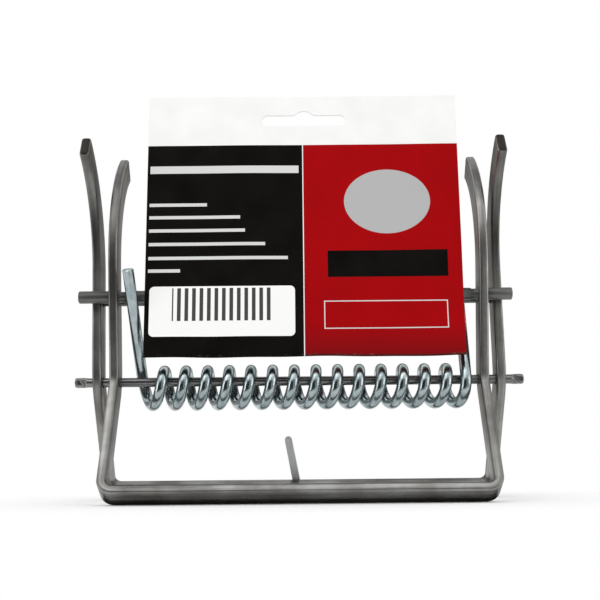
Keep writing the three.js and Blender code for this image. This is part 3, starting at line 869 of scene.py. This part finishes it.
def card_print(name):
    """Printed card: white header, black and red panels, with plain generic blocks and rules on them. The red
    darkens towards the fold as painted shade, and is darker still behind the fold.
    """
    made, tree, shader = principled(name)
    across = parts(tree, flow_map(tree))
    place = object_place(tree)

    def calc(operation, *values):
        return maths(tree, operation, *values)

    x = calc("MULTIPLY", across[0], float(FLOW_UNIT))
    v = calc("MULTIPLY", across[1], float(FLOW_UNIT))
    below = calc("ABSOLUTE", v)

    def distance(box, radius=0.0):
        """Signed distance in millimetres to a rounded rectangle, negative inside."""
        x0, x1, v0, v1 = box
        dx = calc("SUBTRACT", calc("ABSOLUTE", calc("SUBTRACT", x, (x0 + x1) / 2)), (x1 - x0) / 2 - radius)
        dv = calc("SUBTRACT", calc("ABSOLUTE", calc("SUBTRACT", v, (v0 + v1) / 2)), (v1 - v0) / 2 - radius)
        if radius == 0.0:
            return calc("MAXIMUM", dx, dv)
        px, pv = calc("MAXIMUM", dx, 0.0), calc("MAXIMUM", dv, 0.0)
        away = calc("SQRT", calc("ADD", calc("MULTIPLY", px, px), calc("MULTIPLY", pv, pv)))
        near = calc("MINIMUM", calc("MAXIMUM", dx, dv), 0.0)
        return calc("SUBTRACT", calc("ADD", away, near), radius)

    def inside(box, radius=0.0):
        return calc("LESS_THAN", distance(box, radius), 0.0)

    def square(value, middle, half):
        return calc("POWER", calc("MULTIPLY", calc("SUBTRACT", value, middle), 1 / half), 2.0)

    cloud = noise(tree, place, 90.0, 3.0, 0.5)
    wear = spread(tree, cloud, 0.3, 0.7, 0.0, 1.0)
    ink_black = mix(tree, wear, BLACK, BLACK_WORN)
    ink_red = mix(tree, wear, RED, RED_WORN)
    # Painted shade: the red darkens towards the fold over its last 11 mm, on the face and behind it.
    low = calc("MULTIPLY", spread(tree, below, 11.0, 0.0, 0.0, 1.0), 0.75)
    ink_red = mix(tree, low, ink_red, RED_FOLD_SHADE)
    # Behind the fold the red is mixed most of the way towards a dark red-brown.
    ink_red = mix(tree, calc("MULTIPLY", calc("LESS_THAN", v, 0.0), 0.8), ink_red, RED_BEHIND)

    stripes = calc("LESS_THAN", calc("FRACT", calc("MULTIPLY", x, STRIPE_RATE)), 0.5)
    badge = calc("SQRT", calc("ADD", *(
        square(value, middle, half) for value, middle, half in zip((x, v), BADGE_PLACE, BADGE_HALF)
    )))
    layers = [(inside(BLACK_PANEL), ink_black), (inside(RED_PANEL), ink_red), (inside(TITLE_LINE), PALE)]
    layers += [(inside((-50.0, end, level - 0.55, level + 0.55)), PALE) for level, end in TEXT_LINES]
    layers += [
        (inside(WHITE_BOX, BOX_ROUND), WHITE),
        (calc("MULTIPLY", stripes, inside(STRIPES)), STRIPE),
        (calc("LESS_THAN", badge, 1.0), BADGE),
        (inside(BLACK_BOX), ink_black),
        (calc("LESS_THAN", calc("ABSOLUTE", distance(RULED_BOX)), RULE / 2), PALE),
    ]
    specks = spread(tree, noise(tree, place, 420.0, 3.0, 0.7), 0.55, 0.75, 0.0, 1.0)
    worn = calc("MULTIPLY", specks, calc("LESS_THAN", below, 0.22))
    layers.append((calc("MULTIPLY", worn, 0.15), FOLD_WORN))
    colour = mix(tree, wear, WHITE, WHITE_WORN)
    for share, ink in layers:
        colour = mix(tree, share, colour, ink)
    tree.links.new(colour, shader.inputs["Base Color"])

    fibre = noise(tree, place, 1600.0, 4.0, 0.7)
    tree.links.new(spread(tree, fibre, 0.3, 0.7, 0.42, 0.58), shader.inputs["Roughness"])
    shader.inputs["Specular IOR Level"].default_value = 0.03
    bump(tree, shader, weighted(tree, (fibre, 0.4), (cloud, 0.6)), 0.12, 0.0001)
    return made


frame_steel = steel(
    "frame_steel_drawn", (0.066, 0.059, 0.054), (0.205, 0.201, 0.191), (0.43, 0.438, 0.425), seed=2.71
)
# The same frame steel for the inner frame, with every colour lighter: painted light on the inner frame.
frame_steel_painted_lighter = steel(
    "frame_steel_drawn_painted_lighter", (0.077, 0.070, 0.064), (0.24, 0.236, 0.225), (0.48, 0.488, 0.475), seed=6.2
)
bar_steel = steel(
    "bar_steel_drawn", (0.10, 0.10, 0.10), (0.21, 0.21, 0.21), (0.34, 0.34, 0.33),
    rough=(0.24, 0.40), seed=5.3,
)
bar_steel_dull = steel(
    "bar_steel_dull", (0.08, 0.08, 0.078), (0.15, 0.15, 0.146), (0.25, 0.25, 0.24),
    rough=(0.42, 0.58), seed=9.1,
)
tongue_steel = steel(
    "tongue_steel_plated", (0.38, 0.40, 0.39), (0.46, 0.48, 0.47), (0.54, 0.56, 0.55),
    rough=(0.50, 0.62), seed=7.7, metal=0.45,
)
spring_zinc = zinc("spring_zinc_plated")
card_board = card_print("card_printed")

for piece, body, cad, slot_name, finish in (
    (inner_frame, "inner_jaw", "inner_jaw_frame", "frame_steel", frame_steel_painted_lighter),
    (outer_frame, "outer_jaw", "outer_jaw_frame", "frame_steel", frame_steel),
    (rod, "outer_jaw", "pivot_rod", "bar_steel", bar_steel),
    (stop, "inner_jaw", "stop_bar", "bar_steel", bar_steel_dull),
    (jaw_bar, "outer_jaw", "outer_jaw_bar", "bar_steel", bar_steel_dull),
    (spring, None, "torsion_spring", "spring_zinc", spring_zinc),
    (tongue, "catch", "catch_tongue", "tongue_steel", tongue_steel),
    (pin, "outer_jaw", "tongue_pin", "tongue_steel", tongue_steel),
    (card, "inner_jaw", "hang_card", "card", card_board),
):
    piece.data.materials.clear()
    piece.data.materials.append(finish)
    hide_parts(cad)
    if body:
        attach(piece, body)

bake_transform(spring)


# ---------------------------------------------------------------- studio, in metres
PLAIN_WHITE = (1.0, 1.0, 1.0, 1.0)
FLOOR_HALF = 12.0
FLOOR_COLOUR = (0.93, 0.93, 0.93, 1.0)
FADE_START, FADE_END = 0.032, 0.075  # distance from the trap over which the floor turns to plain white
SOFT_WORLD = 0.95


def flat_panel(name, corners):
    mesh = bpy.data.meshes.new(name)
    mesh.from_pydata(corners, [], [(0, 1, 2, 3)])
    panel = bpy.data.objects.new(name, mesh)
    bpy.context.scene.collection.objects.link(panel)
    return panel


def floor_material():
    """Matte near the trap, where it takes the shadow, and plain white farther out."""
    made, tree, surface = bare_material("studio_floor")
    matte = tree.nodes.new("ShaderNodeBsdfDiffuse")
    matte.inputs["Color"].default_value = FLOOR_COLOUR
    bright = tree.nodes.new("ShaderNodeEmission")
    bright.inputs["Color"].default_value = PLAIN_WHITE
    bright.inputs["Strength"].default_value = 1.0
    place = tree.nodes.new("ShaderNodeNewGeometry").outputs["Position"]
    away = tree.nodes.new("ShaderNodeVectorMath")
    away.operation = "LENGTH"
    tree.links.new(mapped(tree, place, (0.45, 1.0, 1.0)), away.inputs[0])
    blend = tree.nodes.new("ShaderNodeMixShader")
    tree.links.new(spread(tree, away.outputs["Value"], FADE_START, FADE_END, 0.0, 1.0), blend.inputs[0])
    tree.links.new(matte.outputs[0], blend.inputs[1])
    tree.links.new(bright.outputs[0], blend.inputs[2])
    tree.links.new(blend.outputs[0], surface)
    return made


floor = flat_panel(
    "studio_floor", [(x * FLOOR_HALF, y * FLOOR_HALF, 0) for x, y in ((-1, -1), (1, -1), (1, 1), (-1, 1))]
)
floor.data.materials.append(floor_material())


def studio_world():
    """White to the camera, in reflections and through glass, and a little softer as light."""
    world = bpy.data.worlds.new("studio")
    bpy.context.scene.world = world
    world.use_nodes = True
    tree = world.node_tree
    tree.nodes.clear()
    rays = tree.nodes.new("ShaderNodeLightPath")
    seen = maths(tree, "MAXIMUM", rays.outputs["Is Camera Ray"], rays.outputs["Is Glossy Ray"])
    seen = maths(tree, "MAXIMUM", seen, rays.outputs["Is Transmission Ray"])
    choose = tree.nodes.new("ShaderNodeMixShader")
    tree.links.new(seen, choose.inputs[0])
    for socket, strength in ((choose.inputs[1], SOFT_WORLD), (choose.inputs[2], 1.0)):
        light = tree.nodes.new("ShaderNodeBackground")
        light.inputs["Color"].default_value = PLAIN_WHITE
        light.inputs["Strength"].default_value = strength
        tree.links.new(light.outputs[0], socket)
    tree.links.new(choose.outputs[0], tree.nodes.new("ShaderNodeOutputWorld").inputs["Surface"])


studio_world()


def lamp(name, place, target, size, watts):
    data = bpy.data.lights.new(name, "AREA")
    data.shape = "RECTANGLE"
    data.size, data.size_y = size
    data.energy = watts
    obj = bpy.data.objects.new(name, data)
    bpy.context.scene.collection.objects.link(obj)
    obj.location = place
    obj.rotation_mode = "QUATERNION"
    obj.rotation_quaternion = (Vector(target) - Vector(place)).to_track_quat("-Z", "Y")


lamp("key", (-0.35, -0.45, 0.70), (0.0, 0.0, 0.06), (0.50, 0.40), 0.7)
lamp("left_strip", (-0.62, -0.30, 0.16), (0.0, 0.0, 0.06), (0.16, 0.42), 0.46)
lamp("overhead", (0.0, -0.50, 0.85), (0.0, 0.0, 0.05), (0.90, 0.25), 0.5)
lamp("right_strip", (0.62, -0.30, 0.16), (0.0, 0.0, 0.06), (0.16, 0.42), 0.5)


def dark_flag(name, first, second, tone):
    """Dark panel between two level edges, each (x0, x1, y, z). It shows only in reflections. Most are studio
    panels, as contrast for the bare metal; the two on the floor under the handle bars are painted shadow."""
    (a0, a1, ay, az), (b0, b1, by, bz) = first, second
    flag = flat_panel(name, [(a0, ay, az), (a1, ay, az), (b1, by, bz), (b0, by, bz)])
    made, tree, surface = bare_material(name)
    glow = tree.nodes.new("ShaderNodeEmission")
    glow.inputs["Color"].default_value = (*tone, 1.0)
    glow.inputs["Strength"].default_value = 1.0
    tree.links.new(glow.outputs[0], surface)
    flag.data.materials.append(made)
    flag.visible_camera = False
    flag.visible_diffuse = False
    flag.visible_shadow = False
    flag.visible_transmission = False


DEEP, RIGHT, REAR = (0.020, 0.019, 0.018), (0.42, 0.415, 0.40), (0.20, 0.18, 0.16)
REAR_LOW, TOP = (0.42, 0.41, 0.40), (0.33, 0.33, 0.34)
dark_flag("front_flag", (-1.6, 0.19, -1.1, 0.0), (-1.6, 0.19, -1.0, 0.75), DEEP)
dark_flag("front_flag_right", (0.19, 1.6, -1.1, 0.0), (0.19, 1.6, -1.0, 0.75), RIGHT)
dark_flag("low_flag", (-1.6, 0.19, -1.1, 0.003), (-0.5, 0.055, -0.11, 0.003), DEEP)
dark_flag("low_flag_right", (0.19, 1.6, -1.1, 0.003), (0.055, 0.5, -0.11, 0.003), RIGHT)
dark_flag("rear_flag", (-2.2, 2.2, 1.2, 0.45), (-2.2, 2.2, 1.16, 0.95), REAR)
dark_flag("rear_low_flag", (-2.2, 2.2, 1.2, 0.01), (-2.2, 2.2, 1.2, 0.44), REAR_LOW)
dark_flag("top_flag", (-2.2, 2.2, 1.0, 2.9), (-2.2, 2.2, -0.75, 2.9), TOP)
# Painted shadow: dark sheets on the floor under the near and far handle bars, seen only in the metal's
# reflections.
dark_flag("near_painted_shadow_flag", (-0.062, 0.062, -0.0218, 0.0001), (-0.062, 0.062, -0.0155, 0.0001), DEEP)
dark_flag("far_painted_shadow_flag", (-0.062, 0.062, 0.0155, 0.0001), (-0.062, 0.062, 0.0200, 0.0001), DEEP)

scene = bpy.context.scene
scene.view_settings.view_transform = "Standard"

# Fitted to the photograph's frame
CAMERA_PLACE = (0.00032, -0.3221843, 0.0145)
CAMERA_PITCH, CAMERA_ROLL = math.radians(96.0), math.radians(-0.54)

camera_data = bpy.data.cameras.new("photo_camera")
camera_data.lens = 60.0
camera_data.sensor_width = 36.0
camera_data.shift_y = 0.083
camera_data.clip_start = 0.01
camera_data.clip_end = 50.0
camera = bpy.data.objects.new("photo_camera", camera_data)
scene.collection.objects.link(camera)
camera.location = CAMERA_PLACE
camera.rotation_mode = "QUATERNION"
camera.rotation_quaternion = Quaternion((1, 0, 0), CAMERA_PITCH) @ Quaternion((0, 0, 1), CAMERA_ROLL)
scene.camera = camera
